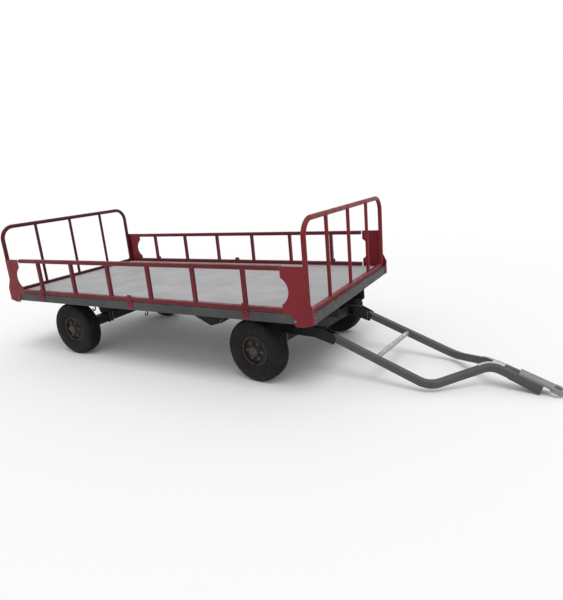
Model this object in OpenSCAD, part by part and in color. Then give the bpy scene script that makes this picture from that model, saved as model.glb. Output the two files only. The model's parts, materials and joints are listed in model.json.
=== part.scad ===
// Flatbed baggage trailer: channel deck frame, fixed hoop end gates, drop side gates,
// front axle on a turntable and a cranked two-rail drawbar that parks with its nose on the floor.
// Millimetres and degrees. X points forward, Y to the left, Z up from the floor.

/* [Deck frame] */
// Length over the end sills
frame_len = 3050; // [2700:10:3400]
// Width over the side sills
frame_w = 1475; // [1400:5:1600]
// Floor to the underside of the sills
frame_z = 501; // [485:1:540]
// Depth of the sill channels
sill_h = 63; // [50:1:80]
// Width of the sill flanges
sill_flange = 50; // [46:1:70]
// Wall of the sill and beam channels
sill_wall = 5; // [4:0.5:8]
// Thickness of the deck plate
deck_t = 4; // [3:0.5:8]
// Number of cross members under the deck
cross_count = 6; // [4:1:9]
// Width over the two main beams
main_w = 520; // [460:5:540]
// Flange width of the main beams
main_flange = 55; // [45:1:80]
// Main beam ends, back from the frame's ends
main_inset = 30; // [10:1:80]

/* [Corner posts] */
// Plate thickness of the corner posts
post_t = 5; // [4:0.5:8]
// Width of a corner post in the side view
post_w = 210; // [180:1:260]
// Width of its bolted tab at the sill
tab_w = 150; // [120:1:175]
// Width of the tab at its lower edge
tab_low_w = 125; // [90:1:150]
// Reach of the tab below the sill
tab_drop = 16; // [8:1:20]
// Length over which the tab's lower edge rises towards the end of the frame
tab_rise = 70; // [60:1:85]
// Radius of the round cut in its inner edge
scallop_r = 99; // [92:1:115]
// Depth of the round cut
scallop_deep = 51; // [30:1:60]
// Height of the cut's centre above the sill
scallop_z = 149; // [135:1:165]
// Width of its foot across the end of the frame
end_foot_w = 34; // [28:1:60]
// Height of that foot above the sill
foot_rise = 46; // [30:1:60]
// Height over the foot in which the plate widens from the hoop to the end of the frame
foot_flare = 82; // [50:1:100]

/* [End gates] */
// Radius of the hoop tube
hoop_r = 17; // [12:0.5:19]
// Height of the hoop's top, at the tube centre
hoop_z = 1151; // [1050:1:1250]
// Bend radius of the hoop at the tube centre
hoop_bend = 112; // [80:1:160]
// Hoop plane, back from the end of the frame
hoop_inset = 35; // [30:1:42]
// Radius of the upright bars in the end gates
end_bar_r = 13; // [9:0.5:15]
// Spacing of those bars
end_bar_pitch = 380; // [300:5:420]
// Number of upright bars in an end gate
end_bar_count = 3; // [1:2:3]

/* [Side gates] */
// Side of the square rails of all gates
rail_s = 30; // [26:1:36]
// Side of the square upright bars in the side gates
bar_s = 25; // [18:1:26]
// Top of the side gates above the floor
gate_top = 873; // [800:1:950]
// Gap from a closed gate to the corner posts, the sill and the deck
gate_gap = 5; // [5:0.5:10]
// First upright bar and first hinge, from the gate's end
bar_edge = 265; // [150:5:340]
// Middle of the row of bars, behind the middle of the frame
bar_shift = 18; // [0:1:40]
// Number of upright bars in a side gate
bar_count = 6; // [4:1:8]
// Number of hinges on a side gate
hinge_count = 3; // [2:1:4]
// Radius of the hinge barrels
knuckle_r = 7; // [6:0.25:7.5]
// Length of the barrel on the gate strap
knuckle_len = 20; // [14:1:30]
// Radius of the hinge pins
hinge_pin_r = 3; // [2:0.25:4]
// Width of a hinge strap and of its leaf
strap_w = 46; // [44:1:70]
// Thickness of a hinge strap
strap_t = 4; // [3:0.25:5]

/* [Wheels] */
// Outer radius of the tyres
wheel_r = 231; // [225:1:240]
// Section width of the tyres
tyre_w = 130; // [120:1:140]
// Radius at which a tyre sits on its rim
bead_r = 102; // [96:0.5:108]
// Shoulder radius of the tread
shoulder_r = 24; // [15:1:32]
// Distance between the outer faces of opposite tyres
track_out = 1276; // [1240:2:1300]
// Front axle, back from the front end of the frame
front_overhang = 465; // [440:1:560]
// Rear axle, ahead of the rear end of the frame
rear_overhang = 620; // [450:5:800]
// Side of the square axle beams
axle_s = 76; // [60:1:90]
// Radius of the wheel spindles
spindle_r = 22; // [18:0.5:26]
// Radius of the hub barrel
hub_r = 42; // [38:0.5:46]
// Radius of the flange that carries the rim
hub_flange_r = 82; // [76:0.5:86]

/* [Turntable and front bogie] */
// Outer radius of the turntable rings
ring_r = 300; // [285:1:310]
// Radial width of the rings
ring_w = 84; // [70:1:110]
// Height of one ring
ring_h = 26; // [20:1:32]
// Thickness of the bolster plate over the turntable
bolster_t = 10; // [6:0.5:14]
// Radius of the kingpin
kingpin_r = 20; // [15:0.5:26]
// Width of the bogie's arms
arm_w = 40; // [36:1:48]
// Depth of the bogie's arms
arm_h = 74; // [64:1:80]
// Spacing of the arms and of the drawbar rails, between centres
arm_spread = 570; // [540:2:590]
// Reach of the arms behind the kingpin
arm_back = 330; // [316:1:380]
// Steering angle as parked
steer_rest = -6.5; // [-10:0.5:10]

/* [Drawbar] */
// Drawbar hinge, ahead of the kingpin
hinge_u = 452; // [430:1:480]
// Drawbar hinge above the bogie arms' underside
hinge_rise = 14; // [10:1:20]
// Radius of the drawbar hinge pins
bar_pin_r = 12; // [9:0.5:14]
// Width of the rail tube
tube_w = 40; // [34:1:40]
// Depth of the rail tube
tube_h = 50; // [40:1:56]
// Hinge to the first bend, along the drawbar
bend_l = 718; // [640:2:780]
// First bend to the second, along the drawbar
crank_l = 257; // [220:1:300]
// Rise of the neck over the hinge line
neck_h = 190; // [150:1:210]
// Gap between the two rails along the neck
neck_gap = 8; // [4:0.5:14]
// Second bend to the front of the nose
neck_len = 312; // [270:1:360]
// Bend radius of the rails at the first bend
bend_r = 150; // [90:5:170]
// Bend radius of the rails at the neck
neck_r = 120; // [80:5:140]
// Radius of the cross tube
tie_r = 17; // [10:0.5:20]
// Hinge to the cross tube, along the drawbar
tie_l = 332; // [200:2:480]
// Depth of the nose below the rails
nose_drop = 12; // [6:1:20]
// Centre of the tow eye, ahead of the nose
eye_ahead = 74; // [66:1:120]
// Outer radius of the tow eye
eye_r = 44; // [38:0.5:52]
// Radius of the hole in the tow eye
eye_hole_r = 22; // [16:0.5:26]
// Thickness of the tow eye's ring
eye_t = 24; // [18:0.5:30]
// Width of the tow tongue
tongue_w = 76; // [60:1:84]
// Thickness of the tow tongue
tongue_t = 14; // [10:0.5:16]

/* [Hidden] */
$fn = 48;

// Paints
gate_red = [0.52, 0.14, 0.16];
frame_grey = [0.30, 0.31, 0.32];
bar_grey = [0.38, 0.39, 0.40];
deck_grey = [0.70, 0.71, 0.71];
under_black = [0.14, 0.14, 0.15];
rubber = [0.07, 0.07, 0.07];
hub_brown = [0.34, 0.28, 0.22];

// Overrun of cuts, clearance of running fits and width of a weld gap
cut = 2;
fit = 0.05;
seam = 0.3;
// Play between parts that turn past each other
play = 0.5;

// Levels above the floor
sill_top = frame_z + sill_h;
deck_top = sill_top + deck_t;
axle_top = wheel_r + axle_s / 2;
arm_top = axle_top + arm_h;
ring_split = arm_top + ring_h;
upper_top = ring_split + seam + ring_h;
main_z = upper_top + bolster_t;
main_h = frame_z - main_z;
hinge_z = axle_top + hinge_rise;
tab_z = frame_z - tab_drop;
foot_low_up = 2;
foot_low = frame_z + foot_low_up;
foot_top = sill_top + foot_rise;
gate_low = sill_top + gate_gap;

// Half sizes and places measured from the middle of the deck frame
half_len = frame_len / 2;
half_w = frame_w / 2;
post_end = half_len + post_t;
hoop_x = half_len - hoop_inset;
hoop_y = half_w - hoop_r - seam;
gate_in = half_w - rail_s;
gate_len = 2 * (post_end - post_w - gate_gap);
bar_span = gate_len - 2 * bar_edge;
knuckle_y = half_w + knuckle_r + 2 * play;
knuckle_z = sill_top + gate_gap / 2;
kingpin_x = half_len - front_overhang;
rear_axle_x = rear_overhang - half_len;
wheel_y = track_out / 2 - tyre_w / 2;
axle_gap = 8;
axle_half = track_out / 2 - tyre_w - axle_gap;
rail_y = arm_spread / 2;
hitch_t = 10;
hitch_reach = 84;

// Drawbar lengths from the hinge
neck_l = bend_l + crank_l;
nose_l = neck_l + neck_len;
eye_l = nose_l + eye_ahead;

// Drawbar angle: the nose or the eye, whichever comes first, stands on the floor
neck_y = (tube_w + neck_gap) / 2;
eye_low = neck_h + tube_h / 2 + tongue_t - eye_t;
nose_low = neck_h - tube_h / 2 - nose_drop;
floor_points = [[nose_l, nose_low], [eye_l + eye_r, eye_low]];
drop = min([for (p = floor_points) atan2(p[1], p[0]) + asin(hinge_z / norm(p))]);

// The origin lies on the floor under the middle of the whole length
eye_mid = eye_low + eye_t / 2;
eye_u = hinge_u + eye_l * cos(drop) + eye_mid * sin(drop);
lean = sin(drop) * cos(steer_rest);
front_x = kingpin_x + eye_u * cos(steer_rest) + eye_r * sqrt(1 - lean * lean) + eye_t / 2 * lean;
rear_x = -half_len - hitch_t - hitch_reach;
deck_x = -(front_x + rear_x) / 2;

module on_chassis() { translate([deck_x, 0, 0]) children(); }
module on_bogie() { on_chassis() translate([kingpin_x, 0, 0]) rotate([0, 0, steer_rest]) children(); }
module on_drawbar() { on_bogie() translate([hinge_u, 0, hinge_z]) rotate([0, drop, 0]) children(); }
module both_sides() { children(); mirror([0, 1, 0]) children(); }
module both_ends() { children(); mirror([1, 0, 0]) children(); }
module side_of(side) { mirror([0, side < 0 ? 1 : 0, 0]) children(); }

// Channel along +X: web on the plane y = 0, flanges towards -Y, standing on z = 0
module channel(len, depth, flange, wall) {
    rotate([90, 0, 90]) linear_extrude(len) difference() {
        translate([-flange, 0]) square([flange, depth]);
        translate([-flange - cut, wall]) square([flange - wall + cut, depth - 2 * wall]);
    }
}

// Channel along -Y: web on the plane x = 0, flanges towards -X
module cross_channel(len, depth, flange, wall) { rotate([0, 0, -90]) channel(len, depth, flange, wall); }

// Round bar along +Y, centred on the origin
module bar_y(r, len) { rotate([90, 0, 0]) cylinder(r = r, h = len, center = true); }

// Block centred in Y, from low to high in X and Z
module block_y(x0, x1, w, z0, z1) { translate([x0, -w / 2, z0]) cube([x1 - x0, w, z1 - z0]); }

module deck_plate() {
    reach = hoop_x - hoop_r - seam;
    color(deck_grey) on_chassis() block_y(-reach, reach, 2 * (gate_in - gate_gap), sill_top, deck_top);
}

module side_sills() {
    len = frame_len - 2 * sill_flange;
    color(frame_grey) on_chassis() both_sides()
        translate([-len / 2, half_w, frame_z]) channel(len, sill_h, sill_flange, sill_wall);
}

module end_sills() {
    color(frame_grey) on_chassis() both_ends()
        translate([half_len, half_w, frame_z]) cross_channel(frame_w, sill_h, sill_flange, sill_wall);
}

module cross_members() {
    len = frame_w - 2 * sill_flange;
    pitch = frame_len / (cross_count + 1);
    color(under_black) on_chassis() for (i = [1:cross_count])
        translate([-half_len + i * pitch + sill_flange / 2, len / 2, frame_z])
            cross_channel(len, sill_h, sill_flange, sill_wall);
}

module main_beams() {
    len = frame_len - 2 * main_inset;
    color(under_black) on_chassis() both_sides()
        translate([-len / 2, main_w / 2, main_z]) channel(len, main_h, main_flange, sill_wall);
}

bolster_len = 2 * ring_r;
module front_bolster() {
    color(under_black) on_chassis() translate([kingpin_x, 0, 0])
        block_y(-bolster_len / 2, bolster_len / 2, bolster_len, upper_top, main_z);
}

// Turntable ring: flat race of full width with a narrower seat
ring_seat_share = 0.6;
ring_race_share = 0.4;
module turntable_ring() {
    race = ring_h * ring_race_share;
    rotate_extrude() {
        translate([ring_r - ring_w, 0]) square([ring_w, race]);
        translate([ring_r - ring_w * ring_seat_share, 0]) square([ring_w * ring_seat_share, ring_h]);
    }
}

module turntable_upper() {
    color(under_black) on_chassis() translate([kingpin_x, 0, ring_split + seam]) turntable_ring();
}

module turntable_lower() {
    color(under_black) on_bogie() translate([0, 0, ring_split]) mirror([0, 0, 1]) turntable_ring();
}

// Kingpin hung from the bolster, with a collar over the bogie and a nut below it
nut_h = 22;
nut_share = 1.7;
nut_r = kingpin_r * nut_share;
seat_h = 28;
module kingpin() {
    low = arm_top - seat_h - nut_h - play;
    color(under_black) on_chassis() translate([kingpin_x, 0, 0]) {
        translate([0, 0, low]) cylinder(r = kingpin_r, h = upper_top - low);
        translate([0, 0, low]) cylinder(r = nut_r, h = nut_h, $fn = 6);
        translate([0, 0, arm_top + play]) cylinder(r = nut_r, h = upper_top - arm_top - play);
    }
}

// Rear axle seats: a tapered stand under each main beam, tied by a plate between them
stand_w = 58;
stand_foot = 116;
stand_head = 210;
stand_tie = 12;
module rear_pedestals() {
    color(under_black) on_chassis() translate([rear_axle_x, 0, 0]) {
        both_sides() translate([0, main_w / 2, 0]) rotate([90, 0, 0]) linear_extrude(stand_w)
            polygon([[-stand_foot / 2, axle_top], [stand_foot / 2, axle_top],
                     [stand_head / 2, main_z], [-stand_head / 2, main_z]]);
        block_y(-stand_tie / 2, stand_tie / 2, main_w - 2 * stand_w, axle_top, main_z);
    }
}

module axle_beam() { block_y(-axle_s / 2, axle_s / 2, 2 * axle_half, wheel_r - axle_s / 2, axle_top); }
module rear_axle_beam() { color(under_black) on_chassis() translate([rear_axle_x, 0, 0]) axle_beam(); }
module front_axle_beam() { color(under_black) on_bogie() axle_beam(); }

// Spindle with a shoulder against the beam
spindle_out = 44;
spindle_end = wheel_y + spindle_out;
shoulder_t = 5;
module spindles() {
    both_sides() translate([0, axle_half, wheel_r]) rotate([-90, 0, 0]) {
        cylinder(r = spindle_r, h = spindle_end - axle_half);
        cylinder(r = hub_r - fit, h = shoulder_t);
    }
}
module rear_spindles() { color(bar_grey) on_chassis() translate([rear_axle_x, 0, 0]) spindles(); }
module front_spindles() { color(bar_grey) on_bogie() spindles(); }

// Corner post: plate on the side sill and the hoop's leg with a round cut, and a foot on the end sill
module post_side() {
    edge = post_end - post_w;
    difference() {
        polygon([[edge, sill_top], [edge, gate_top], [hoop_x, gate_top], [hoop_x, foot_top + foot_flare],
                 [post_end, foot_top], [post_end, sill_top]]);
        translate([edge + scallop_deep - scallop_r, sill_top + scallop_z]) circle(r = scallop_r);
    }
    polygon([[post_end - tab_w, sill_top], [post_end, sill_top], [post_end, foot_low],
             [post_end - tab_rise, tab_z], [post_end - tab_low_w, tab_z]]);
}

module post_foot() {
    inner = half_w - end_foot_w;
    polygon([[half_w, foot_low], [half_w, foot_top], [inner, sill_top], [inner, foot_low]]);
}

module corner_posts() {
    color(gate_red) on_chassis() both_ends() both_sides() {
        translate([0, half_w + post_t, 0]) rotate([90, 0, 0]) linear_extrude(post_t) post_side();
        translate([half_len, 0, 0]) rotate([90, 0, 90]) linear_extrude(post_t) post_foot();
    }
}

// Hoop of bent tube that stands on the end sill
module hoop() {
    color(gate_red) on_chassis() translate([hoop_x, 0, 0]) {
        both_sides() {
            translate([0, hoop_y, sill_top]) cylinder(r = hoop_r, h = hoop_z - hoop_bend - sill_top);
            translate([0, hoop_y - hoop_bend, hoop_z - hoop_bend]) rotate([90, 0, 90])
                rotate_extrude(angle = 90) translate([hoop_bend, 0]) circle(r = hoop_r);
        }
        translate([0, 0, hoop_z]) bar_y(hoop_r, 2 * (hoop_y - hoop_bend));
    }
}
module front_hoop() { hoop(); }
module rear_hoop() { translate([2 * deck_x, 0, 0]) mirror([1, 0, 0]) hoop(); }

// Bottom rail and upright bars inside a hoop
module gate_infill() {
    rail_top = sill_top + rail_s;
    color(gate_red) on_chassis() translate([hoop_x, 0, 0]) {
        block_y(-rail_s / 2, rail_s / 2, 2 * (hoop_y - hoop_r - seam), sill_top, rail_top);
        difference() {
            for (i = [0:end_bar_count - 1])
                translate([0, (i - (end_bar_count - 1) / 2) * end_bar_pitch, rail_top])
                    cylinder(r = end_bar_r, h = hoop_z - rail_top);
            translate([0, 0, hoop_z]) bar_y(hoop_r + seam, frame_w);
        }
    }
}
module front_gate_bars() { gate_infill(); }
module rear_gate_bars() { translate([2 * deck_x, 0, 0]) mirror([1, 0, 0]) gate_infill(); }

// Evenly spaced places over a span, from end to end
function spread(count, span) = [for (i = [0:count - 1]) (i / (count - 1) - 1 / 2) * span];

// Places of the bars and of the hinges along a gate
function gate_places(count) = [for (x = spread(count, bar_span)) x - bar_shift];

// Fixed half of a gate hinge: leaf on the side sill, two lugs and the pin
leaf_t = 5;
leaf_low = 8;
leaf_gap = 3;
leaf_lap = 8;
lug_len = (strap_w - knuckle_len) / 2 - play;
module hinge_leaf() {
    leaf_z = frame_z + leaf_low;
    leaf_top = knuckle_z - knuckle_r - leaf_gap;
    translate([-strap_w / 2, half_w, leaf_z]) cube([strap_w, leaf_t, leaf_top - leaf_z]);
    both_ends() translate([knuckle_len / 2 + play, 0, 0]) {
        translate([0, knuckle_y, knuckle_z]) rotate([0, 90, 0]) cylinder(r = knuckle_r, h = lug_len);
        translate([0, half_w, leaf_top - leaf_lap])
            cube([lug_len, knuckle_y - half_w, knuckle_z - leaf_top + leaf_lap]);
    }
    translate([0, knuckle_y, knuckle_z]) rotate([0, 90, 0])
        cylinder(r = hinge_pin_r, h = strap_w, center = true);
}

module gate_hinge_leaves() {
    color(gate_red) on_chassis() both_sides()
        for (x = gate_places(hinge_count)) translate([x, 0, 0]) hinge_leaf();
}

// Moving half of a gate hinge: strap up the bottom rail and a bored barrel
strap_up = 20;
strap_foot_share = 1.3;
module hinge_strap() {
    strap_top = gate_low + rail_s + strap_up;
    strap_foot = knuckle_z + knuckle_r * strap_foot_share;
    difference() {
        union() {
            translate([-strap_w / 2, half_w, strap_foot]) cube([strap_w, strap_t, strap_top - strap_foot]);
            translate([-knuckle_len / 2, half_w, knuckle_z])
                cube([knuckle_len, strap_t, strap_foot - knuckle_z]);
            translate([0, knuckle_y, knuckle_z]) rotate([0, 90, 0])
                cylinder(r = knuckle_r, h = knuckle_len, center = true);
        }
        translate([0, knuckle_y, knuckle_z]) rotate([0, 90, 0])
            cylinder(r = hinge_pin_r + fit, h = strap_w, center = true);
    }
}

module gate_rails(side) {
    color(gate_red) on_chassis() side_of(side) for (z = [gate_low, gate_top - rail_s])
        translate([-gate_len / 2, gate_in, z]) cube([gate_len, rail_s, rail_s]);
}

module gate_bars(side) {
    low = gate_low + rail_s;
    inner = half_w - (rail_s + bar_s) / 2;
    color(gate_red) on_chassis() side_of(side) for (x = gate_places(bar_count))
        translate([x - bar_s / 2, inner, low]) cube([bar_s, bar_s, gate_top - rail_s - low]);
}

module gate_straps(side) {
    color(gate_red) on_chassis() side_of(side)
        for (x = gate_places(hinge_count)) translate([x, 0, 0]) hinge_strap();
}

// Rope hooks of bent rod under the side sills
hook_r = 5;
hook_bend = 12;
hook_shank = 30;
hook_place_shares = [-0.31, 0.07, 0.53];
module rope_hook() {
    translate([0, 0, -hook_shank]) {
        cylinder(r = hook_r, h = hook_shank);
        translate([0, hook_bend, 0]) rotate([90, 0, 90])
            mirror([0, 1, 0]) rotate_extrude(angle = 180) translate([hook_bend, 0]) circle(r = hook_r);
        translate([0, 2 * hook_bend, 0]) cylinder(r = hook_r, h = hook_bend);
    }
}

module rope_hooks() {
    color(frame_grey) on_chassis() both_sides() for (share = hook_place_shares)
        translate([share * half_len, half_w - sill_flange / 2 - hook_bend, frame_z]) rope_hook();
}

// Tool box under the right main beam, with a sloping back
box_front = 470;
box_len = 430;
box_deep = 148;
box_nose = 118;
box_foot = 112;
box_w = 170;
box_out = 20;
module tool_box() {
    x0 = box_front - box_len;
    color(under_black) on_chassis() translate([0, box_w - main_w / 2 - box_out, 0]) rotate([90, 0, 0])
        linear_extrude(box_w)
            polygon([[x0, main_z], [box_front - box_foot, main_z - box_deep],
                     [box_front, main_z - box_nose], [box_front, main_z]]);
}

// Rear hitch: jaw of two plates with a drop-pin hole, on the rear end sill
hitch_w = 92;
hitch_plate = 13;
hitch_hole_r = 17;
hitch_back_w = 150;
module rear_hitch() {
    pin_x = hitch_t + hitch_reach - hitch_w / 2;
    color(frame_grey) on_chassis() translate([-half_len, 0, frame_z]) mirror([1, 0, 0]) difference() {
        union() {
            block_y(0, hitch_t, hitch_back_w, 0, sill_h);
            for (z = [0, sill_h - hitch_plate]) translate([0, 0, z]) {
                block_y(hitch_t, pin_x, hitch_w, 0, hitch_plate);
                translate([pin_x, 0, 0]) cylinder(r = hitch_w / 2, h = hitch_plate);
            }
        }
        translate([pin_x, 0, -cut]) cylinder(r = hitch_hole_r, h = sill_h + 2 * cut);
    }
}

// Bogie arms: channels that sit on the axle and carry the turntable and the drawbar
arm_setback = 56;
arm_wall = 6;
module bogie_arms() {
    color(under_black) on_bogie() both_sides() translate([-arm_back, rail_y + arm_w / 2, axle_top])
        channel(arm_back + hinge_u - arm_setback, arm_h, arm_w, arm_wall);
}

// Members between the arms: channels at the ends and a seat for the kingpin
seat_len = 130;
module bogie_cross_members() {
    len = arm_spread - arm_w;
    end_u = ring_r - ring_w / 2;
    color(under_black) on_bogie() {
        both_ends() translate([end_u + arm_w / 2, len / 2, axle_top])
            cross_channel(len, arm_h, arm_w, arm_wall);
        difference() {
            block_y(-seat_len / 2, seat_len / 2, len, arm_top - seat_h, arm_top);
            translate([0, 0, arm_top - seat_h - cut]) cylinder(r = kingpin_r + fit, h = seat_h + 2 * cut);
        }
    }
}

// Clevis at the front of each arm: two cheeks, deep at the toe, and a sole between them
cheek_t = 8;
cheek_r = 28;
cheek_lap = 70;
toe_drop = 44;
toe_len = 14;
sole_t = 6;
module cheek() {
    difference() {
        hull() {
            translate([hinge_u - arm_setback - cheek_lap, axle_top]) square([cheek_lap, arm_h - sole_t]);
            translate([hinge_u, hinge_z]) circle(r = cheek_r);
            translate([hinge_u, hinge_z - toe_drop]) square([toe_len, cheek_r]);
        }
        translate([hinge_u, hinge_z]) circle(r = bar_pin_r + fit);
    }
}
module clevis() {
    low = hinge_z - cheek_r;
    for (y = [rail_y - arm_w / 2 - cheek_t, rail_y + arm_w / 2])
        translate([0, y + cheek_t, 0]) rotate([90, 0, 0]) linear_extrude(cheek_t) cheek();
    translate([0, rail_y, 0]) block_y(hinge_u - arm_setback, hinge_u, arm_w, low - sole_t, low);
}
module drawbar_clevises() { color(under_black) on_bogie() both_sides() clevis(); }

// Hinge pins with a head outside and a collar inside
pin_head_share = 1.5;
pin_head_t = 7;
module drawbar_pins() {
    span = arm_w + 2 * cheek_t;
    color(bar_grey) on_bogie() both_sides() translate([hinge_u, rail_y, hinge_z]) {
        bar_y(bar_pin_r, span);
        both_sides() translate([0, (span + pin_head_t) / 2, 0]) bar_y(bar_pin_r * pin_head_share, pin_head_t);
    }
}

// Drawbar, in its own frame: x along the rails from the hinge, z up when it is towed level
barrel_r = 22;
rail_clear = 8;
rail_start = cheek_r + rail_clear;
module drawbar_barrels() {
    color(bar_grey) on_drawbar() both_sides() translate([0, rail_y, 0]) difference() {
        union() {
            bar_y(barrel_r, arm_w - 2 * play);
            block_y(0, rail_start, tube_w - 2 * play, -barrel_r, barrel_r);
        }
        bar_y(bar_pin_r + fit, arm_w);
    }
}

function unit(v) = v / norm(v);

// Round corner at point p from direction a to direction b: [point, tangent] pairs on an arc
function corner(p, a, b, r, n) =
    let (turn = acos(a * b), s = p - a * r * tan(turn / 2), c = p + unit(b - a) * r / cos(turn / 2))
    let (e = (s - c) / r)
    [for (i = [0:n]) let (t = turn * i / n) [c + r * (e * cos(t) + a * sin(t)), a * cos(t) - e * sin(t)]];

// Left rail's centre line, as [point, tangent] pairs
bend_steps = 8;
nose_cap = 8;
ahead = [1, 0, 0];
first_bend = [bend_l, rail_y, 0];
second_bend = [neck_l, neck_y, neck_h];
climb = unit(second_bend - first_bend);
first_arc = corner(first_bend, ahead, climb, bend_r, bend_steps);
second_arc = corner(second_bend, climb, ahead, neck_r, bend_steps);
rail_path = concat([[[rail_start, rail_y, 0], ahead]], first_arc, second_arc,
                   [[[nose_l - nose_cap, neck_y, neck_h], ahead]]);

// Flat section with broken corners: [across, up] pairs
function broken_square(w, h, c) =
    [[w / 2, c - h / 2], [w / 2, h / 2 - c], [w / 2 - c, h / 2], [c - w / 2, h / 2],
     [-w / 2, h / 2 - c], [-w / 2, c - h / 2], [c - w / 2, -h / 2], [w / 2 - c, -h / 2]];

// Solid skinned over a row of sections that have as many points each
module skin(rows) {
    m = len(rows);
    n = len(rows[0]);
    walls = [for (i = [0:m - 2]) for (j = [0:n - 1])
                 [i * n + j, (i + 1) * n + j, (i + 1) * n + (j + 1) % n, i * n + (j + 1) % n]];
    ends = [[for (j = [0:n - 1]) j], [for (j = [n - 1:-1:0]) (m - 1) * n + j]];
    polyhedron([for (row = rows) each row], concat(walls, ends), convexity = 6);
}

// Left-hand and upward directions at a tangent
function side_at(t) = unit(cross([0, 0, 1], t));
function up_at(t) = cross(t, side_at(t));

// Solid that carries a flat section along a path and keeps it upright
module carry(path, section) {
    skin([for (q = path) [for (k = section) q[0] + side_at(q[1]) * k[0] + up_at(q[1]) * k[1]]]);
}

tube_corner = 4;
module drawbar_rails() {
    color(bar_grey) on_drawbar() both_sides() carry(rail_path, broken_square(tube_w, tube_h, tube_corner));
}

module drawbar_cross_tube() {
    color(bar_grey) on_drawbar() translate([tie_l, 0, 0]) bar_y(tie_r, arm_spread - tube_w);
}

// Crotch plate: a leg along the inner edge of each rail over the neck bend and a web that spans the legs
gusset_t = 7;
gusset_w = 18;
gusset_front = 72;
gusset_lap = 24;
web_inset = 1;
web_start_share = 0.4;
module drawbar_gusset() {
    lift = (tube_h + gusset_t) / 2 + seam;
    inward = (tube_w - gusset_w) / 2;
    line = concat([[second_arc[0][0] - climb * gusset_lap, climb]], second_arc,
                  [[second_bend + ahead * gusset_front, ahead]]);
    leg = [for (q = line) [q[0] + up_at(q[1]) * lift - side_at(q[1]) * inward, q[1]]];
    first = ceil(len(leg) * web_start_share);
    high = [0, 0, gusset_t / 2 - web_inset];
    last = len(leg) - 1;
    spine = [for (i = [first:last]) leg[i][0] - (i == last ? web_inset : 0) * ahead];
    web = [for (p = spine) let (q = [p.x, -p.y, p.z]) [p - high, p + high, q + high, q - high]];
    color(bar_grey) on_drawbar() {
        both_sides() carry(leg, broken_square(gusset_w, gusset_t, gusset_t / 4));
        skin(web);
    }
}

// Nose: filler between the rails, a cap over their ends and a wedge under them
filler_len = 152;
wedge_len = 196;
module drawbar_nose() {
    low = neck_h - tube_h / 2;
    cap_back = nose_l - nose_cap;
    nose_w = 2 * tube_w + neck_gap;
    color(bar_grey) on_drawbar() {
        block_y(nose_l - filler_len, cap_back, neck_gap, low, low + tube_h);
        block_y(cap_back, nose_l, nose_w, low, low + tube_h);
        translate([0, nose_w / 2, 0]) rotate([90, 0, 0]) linear_extrude(nose_w)
            polygon([[nose_l - wedge_len, low], [nose_l, nose_low], [nose_l, low]]);
    }
}

// Tow tongue on top of the nose, with a thick bored eye at its end
tongue_back = 150;
module tow_eye() {
    seat = neck_h + tube_h / 2;
    color(bar_grey) on_drawbar() difference() {
        union() {
            block_y(nose_l - tongue_back, eye_l, tongue_w, seat, seat + tongue_t);
            translate([eye_l, 0, eye_low]) cylinder(r = eye_r, h = eye_t);
        }
        translate([eye_l, 0, eye_low - cut]) cylinder(r = eye_hole_r, h = eye_t + 2 * cut);
    }
}

// Wheel pieces, around the local Y axis with the outer face towards +Y
rim_half_share = 0.34;
rim_half = tyre_w * rim_half_share;
lip_t = 6;
lip_h = 12;
rim_wall = 7;
disc_t = 8;
disc_y = 22;
hub_back = wheel_y - axle_half - shoulder_t - play;
hub_flange_t = 12;
cap_in = 2;
cap_out = tyre_w / 2 - cap_in;
cap_share = 0.86;
cap_r = hub_r * cap_share;
cap_wall = 8;

module revolve_y() { rotate([-90, 0, 0]) rotate_extrude() children(); }

module tyre_section() {
    mid = (bead_r + wheel_r) / 2;
    half = tyre_w / 2;
    translate([bead_r, seam - rim_half]) square([mid - bead_r, 2 * (rim_half - seam)]);
    intersection() {
        translate([mid, 0]) circle(r = half);
        translate([bead_r + lip_h, -half]) square([wheel_r, tyre_w]);
    }
    translate([mid, shoulder_r - half]) square([wheel_r - mid, tyre_w - 2 * shoulder_r]);
    translate([mid, -half]) square([wheel_r - mid - shoulder_r, tyre_w]);
    for (y = [shoulder_r - half, half - shoulder_r])
        translate([wheel_r - shoulder_r, y]) circle(r = shoulder_r);
}

module rim_section() {
    seat = bead_r - seam;
    translate([seat - rim_wall, -rim_half]) square([rim_wall, 2 * rim_half]);
    for (y = [-rim_half - lip_t, rim_half])
        translate([seat - rim_wall, y]) square([rim_wall + lip_h, lip_t]);
    translate([hub_r + seam, disc_y]) square([seat - hub_r - seam - rim_wall, disc_t]);
}

module hub_section() {
    bore = spindle_r + fit;
    bore_end = spindle_out + play;
    translate([bore, -hub_back]) square([hub_r - bore, disc_y + disc_t + hub_back]);
    translate([hub_r, disc_y - hub_flange_t]) square([hub_flange_r - hub_r, hub_flange_t]);
    translate([bore, 0]) square([cap_r - bore, cap_out]);
    translate([0, bore_end]) square([cap_r, cap_out - bore_end]);
}

module wheel_place(front, side) {
    if (front) on_bogie() side_of(side) translate([0, wheel_y, wheel_r]) children();
    else on_chassis() side_of(side) translate([rear_axle_x, wheel_y, wheel_r]) children();
}
module tyre(front, side) { color(rubber) wheel_place(front, side) revolve_y() tyre_section(); }
module rim(front, side) { color(under_black) wheel_place(front, side) revolve_y() rim_section(); }
module hub(front, side) { color(hub_brown) wheel_place(front, side) revolve_y() hub_section(); }

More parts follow.
